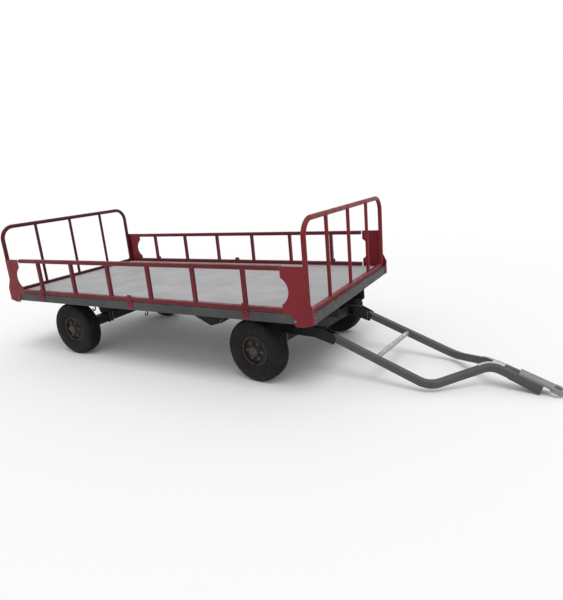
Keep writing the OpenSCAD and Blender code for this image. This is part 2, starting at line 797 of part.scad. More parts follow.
deck_plate();
side_sills();
end_sills();
cross_members();
main_beams();
front_bolster();
turntable_upper();
kingpin();
rear_pedestals();
rear_axle_beam();
rear_spindles();
corner_posts();
front_hoop();
rear_hoop();
front_gate_bars();
rear_gate_bars();
gate_hinge_leaves();
rope_hooks();
tool_box();
rear_hitch();
turntable_lower();
bogie_arms();
bogie_cross_members();
front_axle_beam();
front_spindles();
drawbar_clevises();
drawbar_pins();
drawbar_barrels();
drawbar_rails();
drawbar_cross_tube();
drawbar_gusset();
drawbar_nose();
tow_eye();
tyre(true, 1);  // tyre_front_left
rim(true, 1);  // rim_front_left
hub(true, 1);  // hub_front_left
tyre(true, -1);  // tyre_front_right
rim(true, -1);  // rim_front_right
hub(true, -1);  // hub_front_right
tyre(false, 1);  // tyre_rear_left
rim(false, 1);  // rim_rear_left
hub(false, 1);  // hub_rear_left
tyre(false, -1);  // tyre_rear_right
rim(false, -1);  // rim_rear_right
hub(false, -1);  // hub_rear_right
gate_rails(1);  // gate_rails_left
gate_bars(1);  // gate_bars_left
gate_straps(1);  // gate_straps_left
gate_rails(-1);  // gate_rails_right
gate_bars(-1);  // gate_bars_right
gate_straps(-1);  // gate_straps_right
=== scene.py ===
"""Paint, tyres, fastenings, welds and studio for a flatbed baggage trailer, around its fixed frame."""

import json
import math

import bmesh
import bpy
import numpy as np
from bpy.props import FloatProperty, FloatVectorProperty, IntProperty, PointerProperty
from bpy.types import Operator, Panel, PropertyGroup
from mathutils import Matrix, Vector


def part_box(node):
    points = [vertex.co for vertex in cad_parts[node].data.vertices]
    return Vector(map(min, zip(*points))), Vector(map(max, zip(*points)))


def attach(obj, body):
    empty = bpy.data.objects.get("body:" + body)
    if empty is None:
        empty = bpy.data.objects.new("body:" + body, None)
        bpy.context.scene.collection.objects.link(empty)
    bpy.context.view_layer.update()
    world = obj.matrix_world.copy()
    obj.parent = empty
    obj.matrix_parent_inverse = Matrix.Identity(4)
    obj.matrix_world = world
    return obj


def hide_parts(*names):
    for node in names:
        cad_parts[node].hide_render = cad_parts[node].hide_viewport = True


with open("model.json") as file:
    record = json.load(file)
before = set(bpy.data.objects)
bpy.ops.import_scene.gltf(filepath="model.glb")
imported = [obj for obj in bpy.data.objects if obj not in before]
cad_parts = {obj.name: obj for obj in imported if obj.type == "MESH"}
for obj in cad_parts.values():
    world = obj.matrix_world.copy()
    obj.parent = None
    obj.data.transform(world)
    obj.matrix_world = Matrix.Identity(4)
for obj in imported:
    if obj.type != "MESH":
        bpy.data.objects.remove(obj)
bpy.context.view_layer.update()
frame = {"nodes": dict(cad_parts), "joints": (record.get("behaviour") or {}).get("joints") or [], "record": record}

bl_info = {
    "name": "Baggage Trailer Dress",
    "version": (1, 0, 0),
    "blender": (4, 5, 0),
    "location": "View3D > Sidebar > Trailer",
    "description": "Paint, tyres, fastenings, welds and studio for a flatbed baggage trailer",
    "category": "Object",
}

MERGE = 1e-6
UP = np.array([0.0, 0.0, 1.0])
AHEAD = np.array([1.0, 0.0, 0.0])
LEFT = np.array([0.0, 1.0, 0.0])
FULL_TURN = 2 * np.pi
ENDS = ("front", "rear")
SIDES = {"left": 1, "right": -1}
WHEELS = [(end, side) for end in ENDS for side in SIDES]
BOTH_WAYS = (-1, 1)


# Places

def unit(v):
    """The vector, or each row of vectors, divided by its length."""
    v = np.asarray(v, float)
    return v / np.linalg.norm(v, axis=-1, keepdims=True)


class Place:
    """An origin and three unit axes at right angles, kept as rows."""

    def __init__(self, origin, x, z):
        z = unit(z)
        y = unit(np.cross(z, x))
        self.origin = np.asarray(origin, float)
        self.axes = np.stack([np.cross(y, z), y, z])

    def put(self, points):
        """Local points in the part's frame: origin + x X + y Y + z Z."""
        return self.origin + np.asarray(points, float) @ self.axes

    def at(self, x, y, z, turn_z=None):
        """A place moved to a local point, with its z along a local direction where one is given."""
        new_z = self.axes[2] if turn_z is None else np.asarray(turn_z, float) @ self.axes
        return Place(self.put([x, y, z]), self.axes[0], new_z)


def joint(name):
    """The joint of that name in the frame."""
    return next(j for j in frame["joints"] if j["name"] == name)


def box(node):
    """A node's lowest and highest corner as arrays."""
    low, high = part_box(node)
    return np.array(low), np.array(high)


def deck_place():
    """On the floor under the middle of the deck frame, x ahead."""
    low, high = box("end_sills")
    return Place([(low[0] + high[0]) / 2, 0, 0], AHEAD, UP)


def bogie_place():
    """On the floor under the kingpin, x towards the drawbar's hinge."""
    pin = np.array(joint("steering")["pos_m"]) * [1, 1, 0]
    hinge = np.array(joint("drawbar_lift")["pos_m"]) * [1, 1, 0]
    return Place(pin, hinge - pin, UP)


def drawbar_place():
    """At the drawbar's hinge, z along the tow eye's hole, x along the rails."""
    eye = next(m for m in frame["record"]["mounts"] if m["name"] == "tow_eye_hole")
    return Place(joint("drawbar_lift")["pos_m"], bogie_place().axes[0], eye["axis"])


def wheel_place(end, side):
    """At a wheel's centre, z outboard along its axle, x up."""
    spin = joint(f"wheel_{end}_{side}_spin")
    return Place(spin["pos_m"], UP, np.array(spin["axis"]) * SIDES[side])


DECK = deck_place()
BOGIE = bogie_place()
DRAWBAR = drawbar_place()


# Surfaces

def angles(steps):
    """Equal angles of a full turn."""
    return np.linspace(0, FULL_TURN, steps, endpoint=False)


def quarter(steps):
    """Equal angles from 0 to a quarter turn, both ends with it."""
    return np.linspace(0, np.pi / 2, steps)


def sheet(points, wrap_rows=False, wrap_cols=False):
    """Quads over a grid of points of shape (rows, cols, 3).

    A wrapped way joins its last line to its first.
    """
    rows, cols = points.shape[:2]
    i = np.arange(rows if wrap_rows else rows - 1)
    j = np.arange(cols if wrap_cols else cols - 1)
    i, j = np.meshgrid(i, j, indexing="ij")
    below, beside = (i + 1) % rows, (j + 1) % cols
    quads = np.stack([i * cols + j, below * cols + j, below * cols + beside, i * cols + beside], -1)
    return points.reshape(-1, 3), quads.reshape(-1, 4)


def lifted(rings, heights):
    """Flat rings of shape (rows, cols, 2), each at its own height."""
    heights = np.broadcast_to(np.asarray(heights)[:, None, None], rings.shape[:2] + (1,))
    return np.concatenate([rings, heights], -1)


def turned(place, profile, steps=24, flats=0):
    """Turned shell: a profile point (r, h) at angle t lies at (r k cos t, r k sin t, h).

    k is 1 for a round, or cos(w / 2) / cos(t mod w - w / 2) for flats of angle w.
    """
    t = angles(steps)
    k = np.ones_like(t)
    if flats:
        w = FULL_TURN / flats
        k = np.cos(w / 2) / np.cos(t % w - w / 2)
    r, h = np.array(profile, float).T
    rings = r[:, None, None] * np.stack([k * np.cos(t), k * np.sin(t)], -1)
    return sheet(place.put(lifted(rings, h)), wrap_cols=True)


def swept(path, normal, radius, sides=10, closed=False):
    """Round bar along a path: p + r (cos a n + sin a b), with n square to the tangent and b = t x n.

    Open ends are closed by a ring of no radius.
    """
    path = np.asarray(path, float)
    radius = np.broadcast_to(np.asarray(radius, float), (len(path),))
    if closed:
        tangent = unit(np.roll(path, -1, axis=0) - np.roll(path, 1, axis=0))
    else:
        tangent = unit(np.gradient(path, axis=0))
    n = np.broadcast_to(np.asarray(normal, float), path.shape)
    n = unit(n - (n * tangent).sum(1, keepdims=True) * tangent)
    b = np.cross(tangent, n)
    a = angles(sides)
    if not closed:
        path, n, b = (np.concatenate([v[:1], v, v[-1:]]) for v in (path, n, b))
        radius = np.concatenate([[0], radius, [0]])
    ring = np.cos(a)[None, :, None] * n[:, None] + np.sin(a)[None, :, None] * b[:, None]
    return sheet(path[:, None] + radius[:, None, None] * ring, wrap_rows=closed, wrap_cols=True)


def circle(place, radius, steps=40):
    """Points of a circle in a place's x-y plane."""
    t = angles(steps)
    return place.put(np.stack([radius * np.cos(t), radius * np.sin(t), 0 * t], -1))


BEAD_SIDES = 8
BEAD_WAIST, BEAD_SWELL = 0.82, 0.18


def ripple(phase):
    """Ripples of a weld bead, as a share of its radius: waist + swell |sin phase|."""
    return BEAD_WAIST + BEAD_SWELL * np.abs(np.sin(phase))


def weld_line(s, start, end, size=1):
    """Weld bead: a bar that ripples once each pitch and runs out round at both ends.

    The run-out is the root of the way to the nearer end, as a share of the radius.
    """
    ripple_steps, least_steps, tip, steep = 4, 8, 0.04, 0.8
    radius = size * s.weld_radius
    start, end = np.asarray(start, float), np.asarray(end, float)
    whole, along = np.linalg.norm(end - start), unit(end - start)
    way = np.linspace(0, whole, max(least_steps, int(ripple_steps * whole / s.weld_pitch)))
    run_out = np.sqrt(np.clip(np.minimum(way, whole - way) / radius, tip, 1))
    normal = UP if abs(along[2]) < steep else AHEAD
    radii = radius * ripple(np.pi * way / s.weld_pitch) * run_out
    return swept(start + way[:, None] * along, normal, radii, sides=BEAD_SIDES)


def weld_ring(s, points, normal, size=1):
    """Weld bead round a closed line of points, with a whole number of ripples."""
    least_waves = 3
    step = np.linalg.norm(np.roll(points, -1, axis=0) - points, axis=1)
    waves = max(least_waves, round(step.sum() / s.weld_pitch))
    phase = np.pi * waves * (np.cumsum(step) / step.sum())
    radii = size * s.weld_radius * ripple(phase)
    return swept(points, normal, radii, sides=BEAD_SIDES, closed=True)


def slab(place, width, depth, thick, corner, edge, steps=64, rounds=5):
    """Plate with round corners: a rounded rectangle, drawn in by a quarter round along its upper edge."""
    t = angles(steps)
    out = np.stack([np.cos(t), np.sin(t)], -1)
    centre = np.sign(out) * [width / 2 - corner, depth / 2 - corner]
    q = quarter(rounds)
    draw = np.concatenate([[0], edge * (1 - np.cos(q))])
    rim = centre[None] + (corner - draw)[:, None, None] * out[None]
    rim = np.concatenate([0 * rim[:1], rim, 0 * rim[:1]])
    heights = np.concatenate([[0, 0], thick - edge + edge * np.sin(q), [thick]])
    return sheet(place.put(lifted(rim, heights)), wrap_cols=True)


def hex_bolt(place, across, head, washer):
    """Bolt head with a chamfered top on a washer: two turned shells."""
    thick, rim, bevel = 0.0022, 0.0016, 0.0006
    chamfer, crown = 0.0014, 0.86
    r, top = across / math.sqrt(3), head + thick
    plate = [(0, 0), (washer, 0), (washer, rim), (washer - bevel, thick), (0, thick)]
    cap = [(0, thick), (r, thick), (r, top - chamfer), (crown * r, top), (0, top)]
    return [turned(place, plate), turned(place, cap, flats=6)]


def u_bolt(place, half, low, high, bend, radius):
    """U-bolt in a place's x-z plane: two legs joined by a flat foot through quarter rounds."""
    q = quarter(7)
    left = np.stack([-half + bend * (1 - np.cos(q)), 0 * q, low + bend * (1 - np.sin(q))], -1)
    right = left[::-1] * [-1, 1, 1]
    path = np.concatenate([[[-half, 0, high]], left, right, [[half, 0, high]]])
    return swept(place.put(path), place.axes[1], radius, sides=12)


# Pieces

def joined(name, shells):
    """One mesh of all shells, with its seams and poles welded and its faces turned outwards."""
    starts = np.cumsum([0] + [len(v) for v, _ in shells[:-1]])
    points = np.concatenate([v for v, _ in shells])
    quads = np.concatenate([q + s for (_, q), s in zip(shells, starts)])
    mesh = bpy.data.meshes.new(name)
    mesh.from_pydata(points.tolist(), [], quads.tolist())
    bm = bmesh.new()
    bm.from_mesh(mesh)
    bmesh.ops.remove_doubles(bm, verts=bm.verts, dist=MERGE)
    bmesh.ops.dissolve_degenerate(bm, edges=bm.edges, dist=MERGE)
    bmesh.ops.recalc_face_normals(bm, faces=bm.faces)
    bm.to_mesh(mesh)
    bm.free()
    return mesh


def add_object(name, data):
    """A new object in the scene."""
    new = bpy.data.objects.new(name, data)
    bpy.context.scene.collection.objects.link(new)
    return new


def finish_material(name):
    """The material of a finish; the frame's own materials have the plain names."""
    return bpy.data.materials[f"finish_{name}"]


def make_piece(name, shells, finish, body, sharp=40):
    """Joins shells into a smooth piece with edges past the sharp angle kept, and sets it on a body."""
    mesh = joined(name, shells)
    mesh.shade_smooth()
    mesh.set_sharp_from_angle(angle=math.radians(sharp))
    mesh.materials.append(finish_material(finish))
    piece = add_object(name, mesh)
    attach(piece, body)
    return piece


# Finishes

def shade(colour, times, plus=0):
    """A colour made lighter or darker."""
    return [times * c + plus for c in colour]


class Nodes:
    """A node tree, grown one node at a time."""

    def __init__(self, tree):
        self.tree = tree

    def feed(self, node, inputs):
        """Sets a node's inputs, and links those that are given another node's output."""
        for key, value in inputs.items():
            socket = node.inputs[key]
            if isinstance(value, bpy.types.NodeSocket):
                self.tree.links.new(value, socket)
            elif socket.type == "RGBA":
                socket.default_value = (*value, 1)
            else:
                socket.default_value = value

    def node(self, kind, inputs=None, **settings):
        """A new node with its settings and inputs."""
        new = self.tree.nodes.new(kind)
        for key, value in settings.items():
            setattr(new, key, value)
        self.feed(new, inputs or {})
        return new

    def math(self, operation, a, b):
        """One sum on two values."""
        return self.node("ShaderNodeMath", {0: a, 1: b}, operation=operation).outputs["Value"]

    def span(self, value, low, high, to_low=0, to_high=1):
        """Smooth step of a value: to_low up to low, to_high from high on."""
        inputs = {"Value": value, "From Min": low, "From Max": high, "To Min": to_low, "To Max": to_high}
        return self.node("ShaderNodeMapRange", inputs, interpolation_type="SMOOTHSTEP").outputs["Result"]


class Finish(Nodes):
    """A material on Object coordinates."""

    def __init__(self, name):
        self.material = bpy.data.materials.new(f"finish_{name}")
        self.material.use_nodes = True
        super().__init__(self.material.node_tree)
        self.shader = self.tree.nodes["Principled BSDF"]
        self.coords = self.node("ShaderNodeTexCoord").outputs["Object"]

    def noise(self, scale, detail=4, stretch=None, rough=0.55):
        """Noise over the piece, with its axes stretched where a streak is wanted."""
        place = self.coords
        if stretch:
            place = self.node("ShaderNodeMapping", {"Vector": place, "Scale": stretch}).outputs["Vector"]
        inputs = {"Vector": place, "Scale": scale, "Detail": detail, "Roughness": rough}
        return self.node("ShaderNodeTexNoise", inputs).outputs["Fac"]

    def grain(self, coarse, coarse_share, fine, fine_share):
        """Two noises added by their shares."""
        coarse, fine = self.math("MULTIPLY", coarse, coarse_share), self.math("MULTIPLY", fine, fine_share)
        return self.math("ADD", coarse, fine)

    def mix(self, share, a, b):
        """Colour a turned to colour b by a share; the node's inputs 6 and 7 are its colours."""
        return self.node("ShaderNodeMix", {0: share, 6: a, 7: b}, data_type="RGBA").outputs[2]

    def normal(self):
        """The surface's own normal."""
        return self.node("ShaderNodeNewGeometry").outputs["Normal"]

    def upward(self, vector):
        """The upward part of a vector."""
        return self.node("ShaderNodeSeparateXYZ", {0: vector}).outputs["Z"]

    def rounded(self, radius):
        """The normal, turned over edges as if they were rounded by a radius."""
        return self.node("ShaderNodeBevel", {"Radius": radius}, samples=4).outputs["Normal"]

    def edge(self, radius):
        """Nearness to an edge: how far the rounded normal turns from the true one."""
        inputs = {0: self.rounded(radius), 1: self.normal()}
        dot = self.node("ShaderNodeVectorMath", inputs, operation="DOT_PRODUCT")
        return self.math("SUBTRACT", 1, dot.outputs["Value"])

    def finish(self, colour, rough, bump, depth, metal=0, round_edge=0, specular=0.5):
        """Feeds the shader: colour, roughness, bumps of a depth in metres and softened edges."""
        dent = {"Strength": 1, "Distance": depth, "Height": bump}
        if round_edge:
            dent["Normal"] = self.rounded(round_edge)
        normal = self.node("ShaderNodeBump", dent).outputs["Normal"]
        self.feed(self.shader, {"Base Color": colour, "Roughness": rough, "Metallic": metal,
                                "Specular IOR Level": specular, "Normal": normal})


def painted_steel(name, paints, fade, lift=0, bare="rust", dust="dust",
                  wear=0.5, rough=0.44, dust_and_highlight=0.3, specular=0.12):
    """Brushed-on paint: faded patches, runs, rub marks, chipped edges, dust on top and near the floor; at full
    share in a pale colour the same mix is a painted highlight on top, as on the cross tube.

    The faded colour is fade times the paint plus lift; bare shows where the paint is chipped.
    """
    run_stretch, mark_stretch = (26, 26, 2.4), (7, 7, 120)
    chip_reach, splash_low, splash_high = 0.006, 0.05, 0.55
    f = Finish(name)
    colour = getattr(paints, name)[:]
    faded = shade(colour, fade, lift)
    tone = f.mix(f.span(f.noise(2.4, 5), 0.38, 0.72), colour, faded)
    runs = f.span(f.noise(1.0, 3, stretch=run_stretch), 0.52, 0.78, 0, 0.3)
    tone = f.mix(runs, tone, shade(colour, 0.55))
    # Upward faces and low parts take the dust colour: real dust for most paints; on the cross tube a pale grey at
    # full share, which is a painted highlight on its top.
    on_top = f.span(f.upward(f.normal()), 0.2, 0.95, 0.12, 1)
    top_dust_and_highlight = f.math("MULTIPLY", f.span(f.noise(11, 6), 0.35, 0.75), on_top)
    splashes = f.span(f.upward(f.coords), splash_low, splash_high, 0.5, 0)
    dust_and_highlight_share = f.math("MULTIPLY", f.math("ADD", top_dust_and_highlight, splashes), dust_and_highlight)
    tone = f.mix(dust_and_highlight_share, tone, getattr(paints, dust)[:])
    marks = f.span(f.noise(1.0, 5, stretch=mark_stretch, rough=0.7), 0.6, 0.7, 0, 0.5 * wear)
    tone = f.mix(marks, tone, shade(faded, 1.5, 0.02))
    rubbed = f.math("ADD", f.edge(chip_reach), f.math("MULTIPLY", f.noise(75, 5), 0.3))
    chips = f.span(rubbed, 0.21, 0.27, 0, wear)
    tone = f.mix(chips, tone, getattr(paints, bare)[:])
    gloss = f.span(f.noise(18, 5), 0.3, 0.75, rough - 0.08, rough + 0.16)
    peel = f.grain(f.noise(60, 3), 0.65, f.noise(520, 2), 0.2)
    bump = f.math("SUBTRACT", peel, chips)
    f.finish(tone, gloss, bump, depth=0.00018, round_edge=0.0016, specular=specular)


def deck_steel(name, colour, rust, dust):
    """Deck sheet: pale paint with dull patches, scuffs both ways, patches of dust, rust specks and dents."""
    long_stretch, cross_stretch = (3.5, 46, 20), (40, 4, 20)
    f = Finish(name)
    tone = f.mix(f.span(f.noise(1.7, 6), 0.35, 0.7), colour, shade(colour, 0.86))
    scuffs = f.span(f.noise(1.0, 6, stretch=long_stretch, rough=0.7), 0.56, 0.72, 0, 0.32)
    tone = f.mix(scuffs, tone, shade(colour, 0.62))
    crossed = f.span(f.noise(1.0, 5, stretch=cross_stretch, rough=0.7), 0.6, 0.75, 0, 0.25)
    tone = f.mix(crossed, tone, shade(colour, 1.22))
    tone = f.mix(f.span(f.noise(7, 7), 0.5, 0.82, 0, 0.3), tone, dust)
    tone = f.mix(f.span(f.noise(64, 4), 0.71, 0.77, 0, 0.5), tone, rust)
    gloss = f.span(f.noise(5, 6), 0.3, 0.7, 0.42, 0.66)
    dents = f.grain(f.noise(3.2, 2), 3.0, f.noise(210, 3), 0.12)
    f.finish(tone, gloss, dents, depth=0.0016, round_edge=0.001)


def tyre_rubber(name, colour, dust):
    """Rubber: dry mottled black, dust rubbed into it and a fine grain."""
    dust_high = 0.12
    f = Finish(name)
    tone = f.mix(f.span(f.noise(9, 6), 0.35, 0.75), colour, shade(colour, 1.6))
    tone = f.mix(f.span(f.noise(26, 7, rough=0.65), 0.48, 0.8, 0, 0.10), tone, dust)
    tone = f.mix(f.span(f.upward(f.coords), 0, dust_high, 0.12, 0), tone, dust)
    gloss = f.span(f.noise(30, 4), 0.3, 0.7, 0.62, 0.86)
    skin = f.grain(f.noise(48, 3), 0.5, f.noise(420, 3), 0.5)
    f.finish(tone, gloss, skin, depth=0.0005, specular=0.15)


def cast_hub(name, colour, rust):
    """Cast iron: sandy skin, rust in patches and greasy dark stains."""
    f = Finish(name)
    tone = f.mix(f.span(f.noise(34, 6), 0.36, 0.68), colour, rust)
    tone = f.mix(f.span(f.noise(17, 5), 0.5, 0.75, 0, 0.75), tone, shade(colour, 0.3))
    gloss = f.span(f.noise(40, 5), 0.3, 0.7, 0.42, 0.78)
    skin = f.grain(f.noise(130, 4), 0.6, f.noise(620, 3), 0.4)
    f.finish(tone, gloss, skin, depth=0.0006, metal=0.35, round_edge=0.0015)


def plain_steel(name, colour, rust, metal):
    """Bare or plated steel: spangle, dull patches and a little rust."""
    f = Finish(name)
    tone = f.mix(f.span(f.noise(90, 5), 0.35, 0.7), colour, shade(colour, 0.6))
    tone = f.mix(f.span(f.noise(55, 6), 0.58, 0.74, 0, 0.8), tone, rust)
    gloss = f.span(f.noise(120, 4), 0.3, 0.7, 0.3, 0.6)
    f.finish(tone, gloss, f.noise(300, 4), depth=0.0003, metal=metal)


# Settings

def paint(label, use, colour):
    """A colour to choose, as linear values."""
    return FloatVectorProperty(
        name=label, description=use, subtype="COLOR", min=0, max=1, default=colour)


def metres(label, use, value):
    """A length to choose."""
    return FloatProperty(name=label, description=use, unit="LENGTH", default=value)


def degrees(label, use, value):
    """An angle to choose, given here in degrees."""
    return FloatProperty(name=label, description=use, subtype="ANGLE", default=math.radians(value))


def amount(label, use, value, least=0):
    """A plain number to choose."""
    return FloatProperty(name=label, description=use, default=value, min=least)


def count(label, use, value, least):
    """A whole number to choose."""
    return IntProperty(name=label, description=use, default=value, min=least)


class TrailerPaints(PropertyGroup):
    """Colours of the finishes, as linear values."""

    gate_red: paint("Gate red", "Paint of the corner posts and the front gate", (0.170, 0.008, 0.014))
    # A darker copy of the gate red: painted shade on the side gates' thin bars, rails and straps.
    bar_red: paint("Side gate red", "Darker paint of the side gates", (0.120, 0.006, 0.013))
    # A still darker copy of the gate red: painted shade on the rear hoop and its bars.
    rear_red: paint("Rear gate red", "Darkest paint, of the rear gate", (0.068, 0.004, 0.009))
    frame_grey: paint("Frame grey", "Paint of the sills", (0.059, 0.059, 0.061))
    bar_grey: paint("Drawbar grey", "Paint of the drawbar", (0.076, 0.077, 0.086))
    plate_grey: paint("Plate grey", "Paler paint of the crotch plate", (0.54, 0.54, 0.55))
    # The cross tube's grey; its paint age below paints it pale on top, as a painted highlight.
    tube_grey: paint("Tube grey", "Paint of the cross tube, rubbed pale on top", (0.11, 0.11, 0.12))
    eye_grey: paint("Eye grey", "Worn paint of the tow tongue and its eye", (0.235, 0.237, 0.250))
    deck_grey: paint("Deck grey", "Paint of the deck sheet", (0.362, 0.362, 0.372))
    under_black: paint("Chassis black", "Paint of axles, beams, turntable and rims", (0.019, 0.019, 0.021))
    rubber: paint("Rubber", "Tyres", (0.0105, 0.0092, 0.0100))
    iron: paint("Hub iron", "Skin of the cast hubs", (0.050, 0.042, 0.030))
    zinc: paint("Zinc", "Bolts, U-bolts and pins", (0.20, 0.195, 0.185))
    nut_iron: paint("Nut iron", "Rusty wheel nuts and studs", (0.10, 0.085, 0.06))
    rust: paint("Rust", "Rust on bare steel", (0.13, 0.055, 0.025))
    primer: paint("Bare metal", "What shows where paint is chipped", (0.16, 0.12, 0.105))
    dust: paint("Dust", "Dry dust on upward faces", (0.26, 0.235, 0.2))


class TrailerTyres(PropertyGroup):
    """Sizes of the tyres' own form."""

    bead_radius: metres("Bead radius", "Where the tyre sits on its rim", 0.102)
    bead_half: metres("Half width at the bead", "Middle of the tyre to its bead", 0.0438)
    squareness: amount("Squareness", "Power of the tread's superellipse", 4.6, least=2)
    lugs: count("Lugs", "Shoulder lugs round a tyre", 40, least=12)
    tread_depth: metres("Tread depth", "Depth of the grooves", 0.0045)
    tread_reach: metres("Tread reach", "How far in the tread runs down the walls", 0.020)
    slot_width: metres("Slot width", "Gap between two shoulder lugs", 0.008)
    rib_place: metres("Rib groove place", "Middle of the tread to a rib groove", 0.0165)
    rib_groove: metres("Rib groove", "Width of a rib groove", 0.0066)
    zigzag: metres("Zigzag", "Sideways swing of a rib groove", 0.0032)


class TrailerFastenings(PropertyGroup):
    """Sizes of nuts, bolts, welds and the wheel's small parts."""

    nut_circle: metres("Nut circle", "Radius of the wheel nuts' circle", 0.0625)
    nut_count: count("Wheel nuts", "Nuts on a wheel", 6, least=3)
    nut_across: metres("Nut size", "Wheel nut across its flats", 0.024)
    disc_face: metres("Disc face", "Wheel's middle to the rim disc's outer face", 0.030)
    cap_radius: metres("Hub cap radius", "Radius of the grease cap", 0.0376)
    bolt_across: metres("Bolt size", "Frame bolt across its flats", 0.0135)
    rivet_radius: metres("Rivet size", "Radius of a hinge leaf's rivet", 0.0052)
    weld_radius: metres("Weld size", "Radius of a weld bead", 0.0034)
    weld_pitch: metres("Weld pitch", "Length of one ripple of a bead", 0.005)
    u_bolt_radius: metres("U-bolt radius", "Rod of the axles' U-bolts", 0.006)
    end_bar_spacing: metres("End bar spacing", "Between upright bars of an end gate", 0.380)
    end_bar_radius: metres("End bar radius", "Upright bars of an end gate", 0.013)
    gate_bar_count: count("Gate bars", "Upright bars of a side gate", 6, least=2)
    hinge_count: count("Gate hinges", "Hinges of a side gate", 3, least=2)
    leaf_width: metres("Leaf width", "Width of a hinge leaf", 0.046)
    stitch: metres("Stitch", "Length of a stitch weld", 0.055)
    arm_middle: metres("Arm middle", "Kingpin to the middle of a bogie arm, sideways", 0.285)


class TrailerDrawbar(PropertyGroup):
    """Places on the drawbar, in its own frame: along the rails from the hinge, sideways and up."""

    tie: metres("Cross tube", "Hinge to the cross tube", 0.332)
    tie_half: metres("Cross tube half", "Half length of the cross tube", 0.265)
    tie_radius: metres("Cross tube radius", "Radius of the cross tube", 0.017)
    nose: metres("Nose", "Hinge to the front of the nose", 1.287)
    nose_half: metres("Nose half", "Half width of the nose", 0.044)
    cap: metres("Cap", "Thickness of the nose's cap", 0.008)
    wedge: metres("Wedge", "Length of the wedge under the nose", 0.196)
    neck: metres("Neck", "Rise of the neck over the hinge line", 0.190)
    depth: metres("Depth", "Depth of the rails", 0.050)
    tongue_half: metres("Tongue half", "Half width of the tow tongue", 0.038)
    tongue_back: metres("Tongue back", "Lap of the tow tongue on the nose", 0.150)
    split_pin: metres(
        "Split pin", "Rail's middle to the split pin in the hinge pin's collar", 0.0395)


class TrailerStudio(PropertyGroup):
    """Camera, light and floor."""

    camera_from_deck: FloatVectorProperty(
        name="Camera", description="Camera from the floor under the deck's middle",
        subtype="TRANSLATION", unit="LENGTH", default=(2.8135, -3.313, 1.454))
    azimuth: degrees("Azimuth", "Camera's turn", 30.19)
    elevation: degrees("Elevation", "Camera's tilt", 15.0)
    roll: degrees("Roll", "Camera's roll", -4.99)
    lens: FloatProperty(
        name="Lens", description="Focal length", subtype="DISTANCE_CAMERA", default=29.49)
    floor_radius: metres("Floor", "Radius of the floor", 7.0)
    floor_ahead: metres("Floor ahead", "Deck's middle to the floor's middle", 0.4)
    floor_white: paint("Floor white", "Colour of the floor", (0.93, 0.93, 0.93))
    sky: amount("Sky", "Strength of the even light", 0.75)
    sun: amount("Sun", "Strength of the sun", 1.03)
    sun_from: FloatVectorProperty(
        name="Sun from", description="Direction the sun comes from",
        subtype="DIRECTION", default=(0.35, -0.25, 1.0))
    sun_spread: degrees("Sun spread", "Width of the sun, for soft shadows", 35)


# Steps

RED_AGE = dict(fade=1.12, lift=0.003, bare="primer", dust_and_highlight=0.06, specular=0.24)
PAINT_AGES = {
    "gate_red": RED_AGE,
    "bar_red": RED_AGE,
    "rear_red": RED_AGE,
    "frame_grey": dict(fade=1.35, bare="primer"),
    "bar_grey": dict(fade=1.3, bare="primer", wear=0.6, dust_and_highlight=0.1),
    "plate_grey": dict(fade=1.15, dust_and_highlight=0.08),
    # The cross tube takes pale plate grey at full share on its upward faces: a painted highlight on top.
    "tube_grey": dict(fade=1.3, dust="plate_grey", wear=0.3, dust_and_highlight=1.0, specular=0.4),
    "eye_grey": dict(fade=1.3, wear=0.7, dust_and_highlight=0.06),
    "under_black": dict(fade=1.5, wear=0.35, rough=0.5, dust_and_highlight=0.06),
}
NODE_FINISHES = {
    "gate_red": ("corner_posts", "front_hoop", "front_gate_bars", "gate_hinge_leaves"),
    # The side gates and their welds take a darker copy of the gate red, as painted shade.
    "bar_red": ("gate_rails", "gate_bars", "gate_straps"),
    # The rear gate and its hoop welds take the darkest copy of the gate red, as painted shade.
    "rear_red": ("rear_hoop", "rear_gate_bars"),
    "frame_grey": ("side_sills", "end_sills", "rope_hooks", "rear_hitch"),
    "bar_grey": ("drawbar_barrels", "drawbar_rails", "drawbar_nose"),
    "plate_grey": ("drawbar_gusset",),
    "tube_grey": ("drawbar_cross_tube",),
    "eye_grey": ("tow_eye",),
    "deck_grey": ("deck_plate",),
    "rubber": ("tyre",),
    "hub_brown": ("hub",),
    "zinc": ("front_spindles", "rear_spindles"),
}


def finish_of(node):
    """The finish of a node, by the entry that its name starts with."""
    for name, stems in NODE_FINISHES.items():
        if node.startswith(stems):
            return name
    return "under_black"


class TRAILER_OT_paint(Operator):
    """Mixes the finishes and paints every node of the frame."""

    bl_idname = "trailer.paint"
    bl_label = "Paint the steelwork"

    def execute(self, context):
        p = context.scene.trailer_paints
        rusty = 0.4
        dust, rust, iron = p.dust[:], p.rust[:], p.iron[:]
        for name, age in PAINT_AGES.items():
            painted_steel(name, p, **age)
        deck_steel("deck_grey", p.deck_grey[:], rust, dust)
        tyre_rubber("rubber", p.rubber[:], shade(dust, 0.35))
        cast_hub("hub_brown", iron, [rusty * r + (1 - rusty) * i for r, i in zip(rust, iron)])
        plain_steel("zinc", p.zinc[:], rust, metal=0.6)
        plain_steel("nut_iron", p.nut_iron[:], rust, metal=0.35)
        for name, node in frame["nodes"].items():
            node.data.materials.clear()
            node.data.materials.append(finish_material(finish_of(name)))
        return {"FINISHED"}


